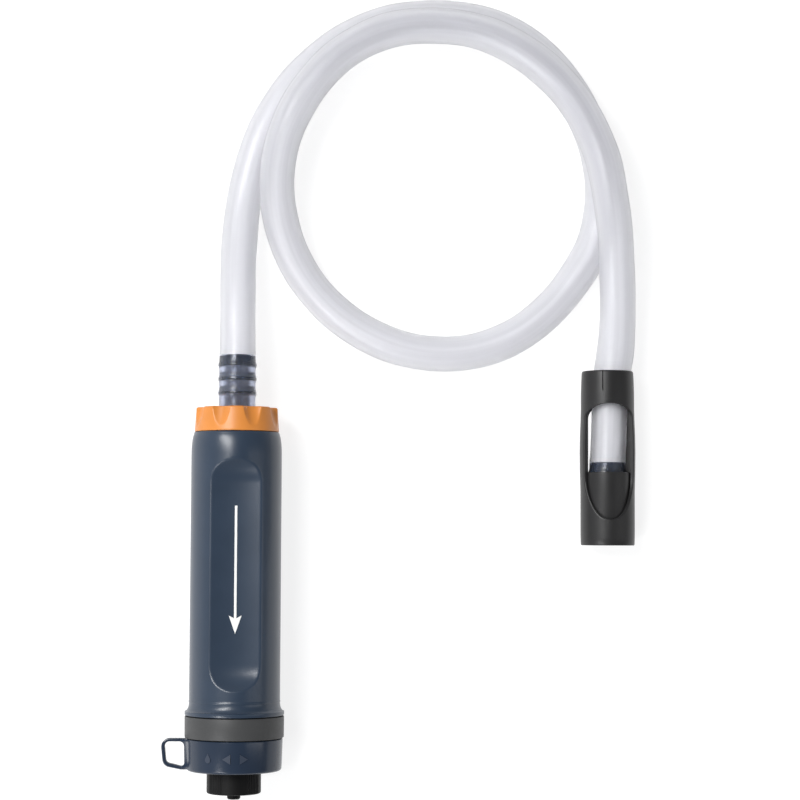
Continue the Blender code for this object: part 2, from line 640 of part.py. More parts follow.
def make_hose():
    """The free run of the hose, as a tube along its route."""
    curve = bpy.data.curves.new("hose", "CURVE")
    curve.dimensions = "3D"
    curve.bevel_depth = HOSE_RADIUS * MM
    curve.bevel_resolution = 4
    curve.resolution_u = 1
    curve.render_resolution_u = 0
    curve.use_fill_caps = True
    samples = smooth_route(HOSE_ROUTE, HOSE_POINTS)
    spline = curve.splines.new("POLY")
    spline.points.add(len(samples) - 1)
    for point, sample in zip(spline.points, samples):
        point.co = (*(sample * MM), 1.0)
    curve.materials.append(bpy.data.materials["milky_hose"])
    tube = bpy.data.objects.new("hose", curve)
    bpy.context.collection.objects.link(tube)


def main():
    clear_scene()
    make_materials()
    filter_frame = make_frame("filter_axis", FILTER_PLACE)
    coupling_frame = make_frame("coupling_axis", COUPLING_PLACE)
    make_housing(filter_frame)
    make_adapter_band(filter_frame)
    make_lock_ring(filter_frame)
    make_hose_barb(filter_frame)
    make_cartridge(filter_frame)
    make_prefilter(filter_frame)
    make_base_cap(filter_frame)
    make_outlet(filter_frame)
    make_nozzle(filter_frame)
    make_hose_end("hose_end_filter", HOSE_END, BARB_TIP, filter_frame)
    make_hose()
    make_hose_end("hose_end_coupling", 12.0, COUPLING_BARB_TIP, coupling_frame)
    make_coupling_core(coupling_frame)
    make_sleeve(coupling_frame)


main()
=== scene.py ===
"""Looks of the inline water filter: camera, light, materials and the finely made pieces.

Like the CAD, each turned piece is made standing up in a frame of its own, in
millimetres: Z runs along its axis towards the hose, and -Y is its front.
"""
import json
import math

import bmesh
import bpy
from mathutils import Matrix, Vector


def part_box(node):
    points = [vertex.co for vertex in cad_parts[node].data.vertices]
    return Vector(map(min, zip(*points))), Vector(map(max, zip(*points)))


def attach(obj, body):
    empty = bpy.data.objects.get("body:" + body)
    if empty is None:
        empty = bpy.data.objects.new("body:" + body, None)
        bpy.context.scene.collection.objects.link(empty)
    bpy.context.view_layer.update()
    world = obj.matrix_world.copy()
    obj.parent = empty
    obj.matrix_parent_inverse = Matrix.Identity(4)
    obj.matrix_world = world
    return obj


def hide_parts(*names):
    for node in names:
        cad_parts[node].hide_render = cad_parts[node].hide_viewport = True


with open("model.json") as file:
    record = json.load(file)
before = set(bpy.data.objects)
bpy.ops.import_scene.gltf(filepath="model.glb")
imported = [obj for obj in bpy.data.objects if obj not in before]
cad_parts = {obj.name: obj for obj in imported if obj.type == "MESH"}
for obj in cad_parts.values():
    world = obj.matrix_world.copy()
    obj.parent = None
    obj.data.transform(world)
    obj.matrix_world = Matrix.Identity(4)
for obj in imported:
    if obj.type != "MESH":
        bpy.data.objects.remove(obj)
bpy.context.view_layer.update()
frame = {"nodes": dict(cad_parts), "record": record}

MM = 0.001
FRONT = -90.0

# ---------------------------------------------------------------- places, from the frame


def standing_frame(along, low_node):
    """Matrix from a standing frame in millimetres to the row frame: the axis is that of one
    node, and height 0 is the lower end of another."""
    low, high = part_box(along)
    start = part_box(low_node)[0][1]
    place = Matrix.Translation(((low[0] + high[0]) / 2, start, (low[2] + high[2]) / 2))
    return place @ Matrix.Rotation(math.radians(-90), 4, "X") @ Matrix.Scale(MM, 4)


FILTER = standing_frame("housing_shell", "outlet_neck")
COUPLING = standing_frame("coupling_cup", "coupling_sleeve")

# Stations and radii of the barrel, in its standing frame
BAND_BASE = 20.4
LIP_BASE = 27.8
BARREL_BASE = 32.0
SHOULDER = 114.2
BARREL_TOP = 121.6
NECK_TOP = 125.3
RING_TOP = 129.9
HOSE_END = 129.2
BARB_TIP = 147.6
LIP_RADIUS = 16.5
BARREL_RADIUS = 15.1
BARREL_TOP_RADIUS = 14.4
NECK_RADIUS = 10.9
GRIP_TURN = 4.0
GRIP_HALF_WIDTH = 8.4
GRIP_BASE = 36.3
GRIP_TOP = 112.4
# The recess: its floor's distance from the axis, its two end sweeps, and its soft rim
CHANNEL_DEPTH = 11.85
LOW_SWEEP = 9.2
LOW_POWER = 2.6
HIGH_SWEEP = 8.2
HIGH_POWER = 2.4
RECESS_REACH = math.radians(50)
RIM_WIDTH = 0.50
# Spacing of the barrel's mesh: its columns across a recess, and beside it in radians, and its rows
# in the recess's sweeps, and between them
RECESS_COLUMN = 0.2
SIDE_COLUMN = 0.045
SWEEP_ROW = 0.18
PLAIN_ROW = 4.0

# Hose and barbs
HOSE_RADIUS = 6.0
HOSE_BORE = 4.4
HOSE_SIDES = 48
ROUTE_STEP = 1.6
LEAD_STEPS = 50
# X, in metres, that parts the hose's end at the filter from its end at the coupling
FILTER_SIDE = 0.02
# How far the streaks in the hose are drawn out along it, and how much darker they are
STREAK_DRAW = 0.02
STREAK_SHADE = 0.885
BARB_PEAK = 4.85
BARB_ROOT = 4.15
BARB_SPACING = 4.7
BARB_NOSE = 3.7
COUPLING_BARB_TIP = 28.0
COUPLING_HOSE_END = 12.0
# Bulges of the stretched hose over the barbs' ridges: first one below the tip, and their spread
BULGE_DROP = 3.4
BULGE_SPREAD = 0.85
# Away from its ends the hose is not quite even, and just before the coupling it is a little flattened
WANDER_FROM = 24
WANDER_TO = 62
SQUEEZE = 0.35
SQUEEZE_PLACE = 52
SQUEEZE_SPREAD = 9.0

# Route of the hose's centre line, as in the CAD, in millimetres
HOSE_ROUTE = (
    (3.85, 74.1, 16.5), (3.85, 80, 16.5), (3.8, 86, 16.2), (3.6, 96, 13.9), (3.4, 106, 10.8),
    (3.7, 115, 8.4), (4.4, 124, 6.8), (5.9, 133, 6.1), (8.8, 144, 6.05), (14.4, 157, 6.05),
    (24.8, 171.5, 6.05), (39.0, 183, 6.05), (54.5, 189.5, 6.05), (71, 191.2, 6.05),
    (87, 189, 6.05), (101.5, 182, 6.05), (113, 170.7, 6.05), (121, 157.4, 6.05),
    (126, 143.2, 6.05), (127.2, 128, 6.05), (124.4, 113.5, 6.05), (117.6, 101, 6.05),
    (108.4, 90, 6.05), (97.2, 81.5, 6.05), (84.5, 76.6, 6.05), (70.8, 75.4, 6.05),
    (57, 77.8, 6.05), (44.6, 83.4, 6.05), (34, 91.4, 6.2), (25.4, 101.7, 7.2),
    (19.6, 113.5, 9.3), (16.6, 127, 12.4), (17, 140, 15.4), (20.4, 152, 17.2),
    (27.8, 165, 18.2), (38.6, 176.2, 18.4), (53.5, 183.8, 18.4), (70, 185.6, 18.4),
    (86, 183.2, 18.4), (100.4, 176, 18.4), (112, 166, 18.4), (120, 155, 18.5),
    (126, 141.6, 18.5), (129, 127, 18.5), (130.6, 115, 17.4), (131.4, 104, 14.6),
    (131.9, 94, 11.9), (131.9, 84, 10.1), (131.3, 76, 9.4), (130.25, 69, 9.2),
    (129.55, 62, 9.2), (129.25, 55, 9.2), (129.05, 47, 9.2), (128.6, 38.9, 9.2),
)

# ---------------------------------------------------------------- camera, floor and light

CAMERA_PLACE = (0.0585, 0.01215, 0.7598)
CAMERA_AIM = (0.0584, 0.0600, 0.0)
CAMERA_ROLL = math.radians(0.13)
CAMERA_LENS = 100.0
MIDDLE = Vector((0.06, 0.06, 0.0))
FLOOR_SIZE = 6.0


def make_camera():
    data = bpy.data.cameras.new("camera")
    data.lens = CAMERA_LENS
    data.sensor_width = 36.0
    data.clip_start = 0.01
    data.clip_end = 20.0
    camera = bpy.data.objects.new("camera", data)
    bpy.context.collection.objects.link(camera)
    camera.location = CAMERA_PLACE
    aim = Vector(CAMERA_AIM) - Vector(CAMERA_PLACE)
    turn = aim.to_track_quat("-Z", "Y").to_matrix() @ Matrix.Rotation(CAMERA_ROLL, 3, "Z")
    camera.rotation_euler = turn.to_euler()
    bpy.context.scene.camera = camera


def make_floor():
    bpy.ops.mesh.primitive_plane_add(size=FLOOR_SIZE, location=MIDDLE)
    floor = bpy.context.object
    floor.name = "floor"
    material = bpy.data.materials.new("floor")
    material.use_nodes = True
    shader = material.node_tree.nodes["Principled BSDF"]
    shader.inputs["Base Color"].default_value = (0.30, 0.30, 0.30, 1)
    shader.inputs["Roughness"].default_value = 0.9
    shader.inputs["Emission Color"].default_value = (1.0, 1.0, 1.0, 1)
    shader.inputs["Emission Strength"].default_value = 0.80
    floor.data.materials.append(material)


def make_area_light(name, offset, size, power):
    """Rectangular light at an offset from the middle of the object, and aimed at it."""
    data = bpy.data.lights.new(name, "AREA")
    data.shape = "RECTANGLE"
    data.size, data.size_y = size
    data.energy = power
    light = bpy.data.objects.new(name, data)
    bpy.context.collection.objects.link(light)
    light.location = MIDDLE + Vector(offset)
    light.rotation_euler = (MIDDLE - light.location).to_track_quat("-Z", "Y").to_euler()


def make_walls():
    """Pale surroundings that darken towards the ceiling and the right."""
    world = bpy.data.worlds.new("studio")
    bpy.context.scene.world = world
    world.use_nodes = True
    nodes, links = world.node_tree.nodes, world.node_tree.links
    place = nodes.new("ShaderNodeTexCoord")
    split = nodes.new("ShaderNodeSeparateXYZ")
    ramp = nodes.new("ShaderNodeMapRange")
    ramp.inputs["To Min"].default_value = 0.85
    ramp.inputs["To Max"].default_value = 0.30
    side = nodes.new("ShaderNodeMapRange")
    side.inputs["From Min"].default_value = -1.0
    side.inputs["To Min"].default_value = 1.25
    side.inputs["To Max"].default_value = 0.32
    product = nodes.new("ShaderNodeMath")
    product.operation = "MULTIPLY"
    nodes["Background"].inputs["Color"].default_value = (0.95, 0.97, 1.0, 1.0)
    links.new(place.outputs["Generated"], split.inputs["Vector"])
    links.new(split.outputs["Z"], ramp.inputs["Value"])
    links.new(split.outputs["X"], side.inputs["Value"])
    links.new(ramp.outputs["Result"], product.inputs[0])
    links.new(side.outputs["Result"], product.inputs[1])
    links.new(product.outputs["Value"], nodes["Background"].inputs["Strength"])


def make_lights():
    """A key from the upper left, a weak strip on the right and two small fills from the lower left."""
    make_area_light("key", (-0.48, 0.32, 1.00), (0.26, 0.58), 10.0)
    make_area_light("strip", (1.0, -0.1, 0.75), (0.10, 1.0), 1.1)
    make_area_light("fill", (-0.60, -0.55, 0.85), (0.25, 0.25), 3.6)
    make_area_light("low_fill", (-0.40, -0.78, 0.75), (0.26, 0.30), 1.8)


# ---------------------------------------------------------------- mesh helpers

def add_piece(name, mesh, material, body, nodes=(), sharp=30.0):
    """Shade a mesh, make it an object, fix it to the body it rides on, and hide the CAD nodes it stands for.
    """
    mesh.shade_smooth()
    mesh.set_sharp_from_angle(angle=math.radians(sharp))
    mesh.materials.clear()
    mesh.materials.append(MATERIALS[material])
    piece = bpy.data.objects.new(name, mesh)
    bpy.context.collection.objects.link(piece)
    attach(piece, body)
    if nodes:
        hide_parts(*nodes)
    return piece


def new_mesh(name, vertices, faces, placed):
    """A welded mesh in the row frame from points in a standing frame."""
    mesh = bpy.data.meshes.new(name)
    mesh.from_pydata([placed @ Vector(point) for point in vertices], [], faces)
    bm = bmesh.new()
    bm.from_mesh(mesh)
    bmesh.ops.remove_doubles(bm, verts=bm.verts, dist=2e-7)
    bmesh.ops.dissolve_degenerate(bm, edges=bm.edges, dist=1e-7)
    bmesh.ops.recalc_face_normals(bm, faces=bm.faces)
    bm.to_mesh(mesh)
    bm.free()
    return mesh


def skin(rows, closed_rows=False):
    """Vertices and quads over rows of points; every row is a closed loop."""
    count = len(rows[0])
    vertices = [point for row in rows for point in row]
    faces = []
    last = len(rows) if closed_rows else len(rows) - 1
    for row in range(last):
        below = row * count
        above = (row + 1) % len(rows) * count
        for index in range(count):
            after = (index + 1) % count
            faces.append((below + index, below + after, above + after, above + index))
    return vertices, faces


def radius_field(outline, angles, radius_at):
    """Skin over a closed outline of (radius, height) whose radius may vary with the angle."""
    rows = []
    for radius, height in outline:
        row = []
        for angle in angles:
            reach = radius_at(radius, height, angle)
            row.append((reach * math.cos(angle), reach * math.sin(angle), height))
        rows.append(row)
    return skin(rows, closed_rows=True)


def turned(name, outline, placed, count=144):
    """Spin a closed outline of (radius, height) points about the standing axis."""
    angles = [math.tau * index / count for index in range(count)]
    return new_mesh(name, *radius_field(outline, angles, lambda radius, height, angle: radius), placed)


def prism(name, outline, base, top, placed, axis="Z"):
    """Extrude an outline along Z, or along Y from an outline of X and height."""
    rows = []
    for level in (base, top):
        rows.append([(x, y, level) if axis == "Z" else (x, level, y) for x, y in outline])
    vertices, faces = skin(rows)
    count = len(outline)
    faces += [tuple(range(count)), tuple(range(count, 2 * count))]
    return new_mesh(name, vertices, faces, placed)


def combine(mesh, tools):
    """Join or cut (operation, mesh) tools in turn and return the finished mesh."""
    target = bpy.data.objects.new("target", mesh)
    bpy.context.collection.objects.link(target)
    helpers = [target]
    for operation, tool_mesh in tools:
        tool = bpy.data.objects.new("tool", tool_mesh)
        bpy.context.collection.objects.link(tool)
        helpers.append(tool)
        modifier = target.modifiers.new(operation, "BOOLEAN")
        modifier.operation = operation
        modifier.solver = "EXACT"
        modifier.object = tool
    depsgraph = bpy.context.evaluated_depsgraph_get()
    result = bpy.data.meshes.new_from_object(target.evaluated_get(depsgraph))
    for helper in helpers:
        bpy.data.objects.remove(helper, do_unlink=True)
    return result


def rounded(corners, steps=6):
    """Polygon from (x, y, corner radius) corners, each rounded with a tangent arc."""
    points = []
    for index, (x, y, radius) in enumerate(corners):
        here = Vector((x, y))
        before = (Vector(corners[index - 1][:2]) - here).normalized()
        after = (Vector(corners[(index + 1) % len(corners)][:2]) - here).normalized()
        half = before.angle(after) / 2
        centre = here + (before + after).normalized() * radius / math.sin(half)
        start = here + before * radius / math.tan(half) - centre
        sweep = start.angle_signed(here + after * radius / math.tan(half) - centre)
        for step in range(steps + 1):
            points.append(tuple(centre + Matrix.Rotation(-sweep * step / steps, 2) @ start))
    return points


def arc(centre, radii, start, end, steps):
    """Points on a stretch of an ellipse, angles in degrees."""
    points = []
    for index in range(steps + 1):
        angle = math.radians(start + (end - start) * index / steps)
        points.append((centre[0] + radii[0] * math.cos(angle), centre[1] + radii[1] * math.sin(angle)))
    return points


def spaced(start, end, step):
    """Even values from start up to and with end, about a step apart."""
    count = max(1, round(abs(end - start) / step))
    return [start + (end - start) * index / count for index in range(count + 1)]


def smoothstep(low, high, value):
    """Smooth ramp from 0 at low to 1 at high, whichever of the two is larger."""
    share = min(1.0, max(0.0, (value - low) / (high - low)))
    return share * share * (3 - 2 * share)


def soft_min(one, two, width):
    """The smaller of two values, with the corner between them rounded over a width."""
    blend = max(width - abs(one - two), 0.0) / width
    return min(one, two) - blend * blend * width / 4


# ---------------------------------------------------------------- materials

# How far colour, as a share, and roughness stray from a material's own
MOTTLE = 0.06
UNEVEN_GLOSS = 0.04


def new_material(name):
    material = bpy.data.materials.new(name)
    material.use_nodes = True
    nodes = material.node_tree.nodes
    return material, nodes, material.node_tree.links, nodes["Principled BSDF"]


def make_plastic(name, colour, roughness, grain=0.00001, grain_scale=2600.0, specular=0.5):
    """Moulded plastic: fine grain, faint colour mottling and uneven gloss."""
    material, nodes, links, shader = new_material(name)
    place = nodes.new("ShaderNodeTexCoord")
    noise = nodes.new("ShaderNodeTexNoise")
    noise.inputs["Scale"].default_value = grain_scale
    noise.inputs["Detail"].default_value = 2.0
    bump = nodes.new("ShaderNodeBump")
    bump.inputs["Strength"].default_value = 0.5
    bump.inputs["Distance"].default_value = grain
    patches = nodes.new("ShaderNodeTexNoise")
    patches.inputs["Scale"].default_value = 90.0
    patches.inputs["Detail"].default_value = 4.0
    ramp = nodes.new("ShaderNodeValToRGB")
    for element, position, shade in zip(ramp.color_ramp.elements, (0.3, 0.7), (1 - MOTTLE, 1 + MOTTLE)):
        element.position = position
        element.color = (*[min(part * shade, 1.0) for part in colour], 1)
    gloss = nodes.new("ShaderNodeMapRange")
    gloss.inputs["To Min"].default_value = roughness - UNEVEN_GLOSS
    gloss.inputs["To Max"].default_value = roughness + UNEVEN_GLOSS
    links.new(place.outputs["Object"], noise.inputs["Vector"])
    links.new(noise.outputs["Fac"], bump.inputs["Height"])
    links.new(bump.outputs["Normal"], shader.inputs["Normal"])
    links.new(place.outputs["Object"], patches.inputs["Vector"])
    links.new(patches.outputs["Fac"], ramp.inputs["Fac"])
    links.new(ramp.outputs["Color"], shader.inputs["Base Color"])
    links.new(patches.outputs["Fac"], gloss.inputs["Value"])
    links.new(gloss.outputs["Result"], shader.inputs["Roughness"])
    shader.inputs["Specular IOR Level"].default_value = specular
    return material


def make_hose_material(name, colour, clear, roughness):
    """Milky silicone: frosted, part clear, with a soft sheen and drawing streaks along the hose."""
    material, nodes, links, shader = new_material(name)
    place = nodes.new("ShaderNodeTexCoord")
    cloud = nodes.new("ShaderNodeTexNoise")
    cloud.inputs["Scale"].default_value = 60.0
    cloud.inputs["Detail"].default_value = 3.0
    haze = nodes.new("ShaderNodeMapRange")
    haze.inputs["To Min"].default_value = roughness - UNEVEN_GLOSS
    haze.inputs["To Max"].default_value = roughness + UNEVEN_GLOSS
    noise = nodes.new("ShaderNodeTexNoise")
    noise.inputs["Scale"].default_value = 400.0
    bump = nodes.new("ShaderNodeBump")
    bump.inputs["Strength"].default_value = 0.2
    bump.inputs["Distance"].default_value = 0.00001
    links.new(place.outputs["Object"], cloud.inputs["Vector"])
    links.new(cloud.outputs["Fac"], haze.inputs["Value"])
    links.new(haze.outputs["Result"], shader.inputs["Roughness"])
    links.new(place.outputs["Object"], noise.inputs["Vector"])
    links.new(noise.outputs["Fac"], bump.inputs["Height"])
    links.new(bump.outputs["Normal"], shader.inputs["Normal"])
    drawn = nodes.new("ShaderNodeAttribute")
    drawn.attribute_name = "hose_grain"
    streak = nodes.new("ShaderNodeTexNoise")
    streak.inputs["Scale"].default_value = 0.50
    streak.inputs["Detail"].default_value = 2.0
    contrast = nodes.new("ShaderNodeMapRange")
    contrast.inputs["From Min"].default_value = 0.38
    contrast.inputs["From Max"].default_value = 0.62
    tint = nodes.new("ShaderNodeMix")
    tint.data_type = "RGBA"
    tint.inputs["A"].default_value = (*[STREAK_SHADE * part for part in colour], 1)
    tint.inputs["B"].default_value = (*colour, 1)
    links.new(drawn.outputs["Vector"], streak.inputs["Vector"])
    links.new(streak.outputs["Fac"], contrast.inputs["Value"])
    links.new(contrast.outputs["Result"], tint.inputs["Factor"])
    links.new(tint.outputs["Result"], shader.inputs["Base Color"])
    shader.inputs["IOR"].default_value = 1.41
    shader.inputs["Transmission Weight"].default_value = clear
    return material


MATERIALS = {
    "slate_plastic": make_plastic("slate_plastic", (0.020, 0.034, 0.058), 0.30),
    "navy_plastic": make_plastic("navy_plastic", (0.015, 0.025, 0.045), 0.22, specular=0.36),
    # navy_marks is lighter than the cap's navy as painted highlight: the raised marks are the cap's own
    # plastic, lit where their faces catch the light
    "navy_marks": make_plastic("navy_marks", (0.030, 0.040, 0.062), 0.30),
    "grey_plastic": make_plastic("grey_plastic", (0.046, 0.047, 0.048), 0.48, 0.00003, specular=0.35),
    "orange_plastic": make_plastic("orange_plastic", (0.60, 0.212, 0.036), 0.36),
    "black_plastic": make_plastic("black_plastic", (0.004, 0.004, 0.0042), 0.50, 0.00002, specular=0.15),
    "coupling_plastic": make_plastic("coupling_plastic", (0.014, 0.0137, 0.014), 0.40, 0.00003,
                                     specular=0.38),
    "white_plastic": make_plastic("white_plastic", (0.80, 0.80, 0.78), 0.45),
    "seal_rubber": make_plastic("seal_rubber", (0.012, 0.012, 0.012), 0.62),
    "membrane_fibre": make_plastic("membrane_fibre", (0.86, 0.85, 0.80), 0.75, 0.0001, 1200.0),
    "potting_resin": make_plastic("potting_resin", (0.72, 0.60, 0.34), 0.20),
    "filter_mesh": make_plastic("filter_mesh", (0.50, 0.52, 0.54), 0.60, 0.0001, 1800.0),
    "milky_hose": make_hose_material("milky_hose", (0.955, 0.955, 0.985), 0.78, 0.34),
    "wet_hose": make_hose_material("wet_hose", (0.62, 0.67, 0.84), 0.90, 0.28),
    "stretched_hose": make_hose_material("stretched_hose", (0.75, 0.80, 0.94), 0.975, 0.26),
}


def dress_cad_nodes():
    """Every CAD node takes the finished material of its slot."""
    for part in frame["record"]["subparts"]:
        node = frame["nodes"][part["node"]]
        node.data.materials.clear()
        node.data.materials.append(MATERIALS[part["material_slot"]])


# ---------------------------------------------------------------- hose

def catmull_rom(before, start, end, after, share):
    """Point on a centripetal Catmull-Rom curve, at a share of the way from start to end."""
    knots = [0.0]
    for one, two in ((before, start), (start, end), (end, after)):
        knots.append(knots[-1] + math.sqrt((two - one).length))
    at = knots[1] + (knots[2] - knots[1]) * share
    first = before.lerp(start, at / knots[1])
    second = start.lerp(end, (at - knots[1]) / (knots[2] - knots[1]))
    third = end.lerp(after, (at - knots[2]) / (knots[3] - knots[2]))
    low = first.lerp(second, at / knots[2])
    high = second.lerp(third, (at - knots[1]) / (knots[3] - knots[1]))
    return low.lerp(high, share)


def hose_path():
    """Dense points in metres from the hose's end in the lock ring to its end in the cup."""
    start = FILTER @ Vector((0, 0, HOSE_END))
    end = COUPLING @ Vector((0, 0, COUPLING_HOSE_END))
    route = [Vector(point) * MM for point in HOSE_ROUTE]
    padded = [route[0] * 2 - route[1]] + route + [route[-1] * 2 - route[-2]]
    middle = []
    for before, first, second, after in zip(padded, padded[1:], padded[2:], padded[3:]):
        steps = max(2, round((second - first).length / (ROUTE_STEP * MM)))
        for step in range(steps):
            middle.append(catmull_rom(before, first, second, after, step / steps))
    lead_in = [start.lerp(route[0], step / LEAD_STEPS) for step in range(LEAD_STEPS)]
    lead_out = [route[-1].lerp(end, step / LEAD_STEPS) for step in range(LEAD_STEPS + 1)]
    return lead_in + middle + lead_out


def barb_swell(height, tip):
    """How far a hose is stretched, outside and inside, at a height over the barbs below a tip."""
    ridge = 0.0
    for row in range(3):
        peak = tip - BULGE_DROP - row * BARB_SPACING
        ridge = max(ridge, math.exp(-((height - peak) / BULGE_SPREAD) ** 2))
    on_barb = smoothstep(tip + 2.6, tip - 1.0, height)
    over_nose = smoothstep(tip - 4.2, tip - 3.2, height) * smoothstep(tip + 1.6, tip - 0.2, height)
    outer = on_barb * (0.12 + 0.33 * ridge)
    inner = max(on_barb * (0.58 * ridge - 0.18), 0.29 * over_nose)
    return outer, inner


def hose_wander(at, total):
    """How far the hose's radius strays at a length along it."""
    if not WANDER_FROM < at < total - WANDER_TO:
        return 0
    return 0.05 * math.sin(at / 7.3) + 0.04 * math.sin(at / 3.1 + 1.0)


def add_streak_places(mesh, lengths, around):
    """Store where each point would be on a straight hose, much shortened, for the streaks."""
    grain = mesh.attributes.new("hose_grain", "FLOAT_VECTOR", "POINT")
    for row, at in enumerate(lengths + lengths[::-1]):
        for step, angle in enumerate(around):
            place = (HOSE_RADIUS * math.cos(angle), HOSE_RADIUS * math.sin(angle), STREAK_DRAW * at)
            grain.data[row * HOSE_SIDES + step].vector = place


def clear_hose_over_barbs(mesh):
    """Give the faces over the two barbs the clearer materials of a stretched, wet hose."""
    mesh.materials.append(MATERIALS["wet_hose"])
    mesh.materials.append(MATERIALS["stretched_hose"])
    for face in mesh.polygons:
        if face.center.x < FILTER_SIDE:
            below = BARB_TIP - (FILTER.inverted() @ face.center).z
        elif (COUPLING.inverted() @ face.center).z < COUPLING_BARB_TIP + 1:
            below = COUPLING_BARB_TIP - (COUPLING.inverted() @ face.center).z
        else:
            continue
        if below > 0:
            on_ridge = below < BARB_NOSE + 0.2 or -0.9 < below - BARB_NOSE - BARB_SPACING < 0.25
            on_ridge = on_ridge or -0.5 < below - BARB_NOSE - 2 * BARB_SPACING < 0.25
            face.material_index = 2 if on_ridge else 1


def make_hose():
    path = hose_path()
    lengths = [0.0]
    for one, two in zip(path, path[1:]):
        lengths.append(lengths[-1] + (two - one).length / MM)
    total = lengths[-1]
    around = [math.tau * step / HOSE_SIDES for step in range(HOSE_SIDES)]
    normal = Vector((1, 0, 0))
    outer, inner = [], []
    for index, point in enumerate(path):
        tangent = (path[min(index + 1, len(path) - 1)] - path[max(index - 1, 0)]).normalized()
        normal = (normal - tangent * normal.dot(tangent)).normalized()
        other = tangent.cross(normal)
        at = lengths[index]
        near = barb_swell(HOSE_END + at, BARB_TIP)
        far = barb_swell(COUPLING_HOSE_END + total - at, COUPLING_BARB_TIP)
        wander = hose_wander(at, total)
        squeeze = SQUEEZE * math.exp(-((total - at - SQUEEZE_PLACE) / SQUEEZE_SPREAD) ** 2)
        walls = ((outer, HOSE_RADIUS + near[0] + far[0]), (inner, HOSE_BORE + near[1] + far[1]))
        for rows, radius in walls:
            wide = (radius + wander + squeeze) * MM
            tall = (radius + wander - squeeze) * MM
            row = []
            for angle in around:
                row.append(point + normal * math.cos(angle) * wide + other * math.sin(angle) * tall)
            rows.append(row)
    mesh = new_mesh("hose_tube", *skin(outer + inner[::-1], closed_rows=True), Matrix.Identity(4))
    add_streak_places(mesh, lengths, around)
    hose_nodes = ("hose", "hose_end_filter", "hose_end_coupling")
    hose = add_piece("hose_tube", mesh, "milky_hose", "filter_body", hose_nodes, sharp=50.0)
    clear_hose_over_barbs(mesh)
    return hose, path, total


def barb_outline(base, tip):
    """Outer side of a hose barb from its root up to its tip."""
    points = [(BARB_ROOT, base)]
    for row in (2, 1, 0):
        peak = tip - BARB_NOSE - row * BARB_SPACING
        points += [(BARB_ROOT + 0.15, peak - 0.35), (BARB_ROOT + 0.25, peak - 0.25)]
        points += [(BARB_PEAK - 0.08, peak - 0.05), (BARB_PEAK, peak + 0.15), (BARB_PEAK, peak + 0.5)]
        if row:
            points += [(BARB_ROOT + 0.45, peak + 1.8), (BARB_ROOT + 0.15, peak + 3.0)]
    return points + [(BARB_PEAK - 0.04, tip - 1.2), (BARB_PEAK - 0.12, tip - 0.4), (BARB_ROOT + 0.2, tip)]


def make_hose_barb():
    outline = [(6.0, 120.0), (8.9, 120.0), (8.9, 121.3), (8.1, 121.3), (8.1, 122.7), (8.9, 122.7)]
    outline += [(8.9, 125.6), (10.2, 125.6), (10.2, 127.1), (5.2, 127.1), (5.2, 128.7), (4.9, 128.9)]
    outline += barb_outline(128.9, BARB_TIP) + [(2.8, BARB_TIP), (2.8, 125.0)]
    mesh = turned("inlet_barb", outline, FILTER)
    add_piece("inlet_barb", mesh, "navy_plastic", "filter_body", ["hose_barb"])


# ---------------------------------------------------------------- barrel

def column_angles(turn):
    """Directions round the barrel, dense across the two grip recesses."""
    reach = GRIP_HALF_WIDTH + 0.7
    dense = [math.asin(x / BARREL_RADIUS) for x in spaced(-reach, reach, RECESS_COLUMN)]
    side = spaced(dense[-1], math.pi - dense[-1], SIDE_COLUMN)[1:-1]
    half = dense + side
    front = math.radians(FRONT + turn)
    return [front + angle for angle in half] + [front + math.pi + angle for angle in half]


def recess_radius(radius, height, angle):
    """Distance from the axis to the barrel's skin, with a hollowed recess front and back.

    The recess floor is a shallow channel, and each of its ends sweeps up to the skin.
    """
    away = (angle - math.radians(FRONT + GRIP_TURN)) % math.pi
    away = min(away, math.pi - away)
    if radius < BARREL_TOP_RADIUS or away > RECESS_REACH:
        return radius
    low = max(GRIP_BASE + LOW_SWEEP - height, 0.0) / LOW_SWEEP
    high = max(height - GRIP_TOP + HIGH_SWEEP, 0.0) / HIGH_SWEEP
    depth = CHANNEL_DEPTH + (BARREL_RADIUS + 0.1 - CHANNEL_DEPTH) * (low ** LOW_POWER + high ** HIGH_POWER)
    flank = math.sqrt(BARREL_RADIUS ** 2 - GRIP_HALF_WIDTH ** 2)
    bend = (flank - CHANNEL_DEPTH) / GRIP_HALF_WIDTH ** 2 * math.sin(away) ** 2
    under = math.cos(away) ** 2 - 4 * bend * depth
    if under <= 0:
        return radius
    floor = 2 * depth / (math.cos(away) + math.sqrt(under))
    return soft_min(radius, floor, RIM_WIDTH)


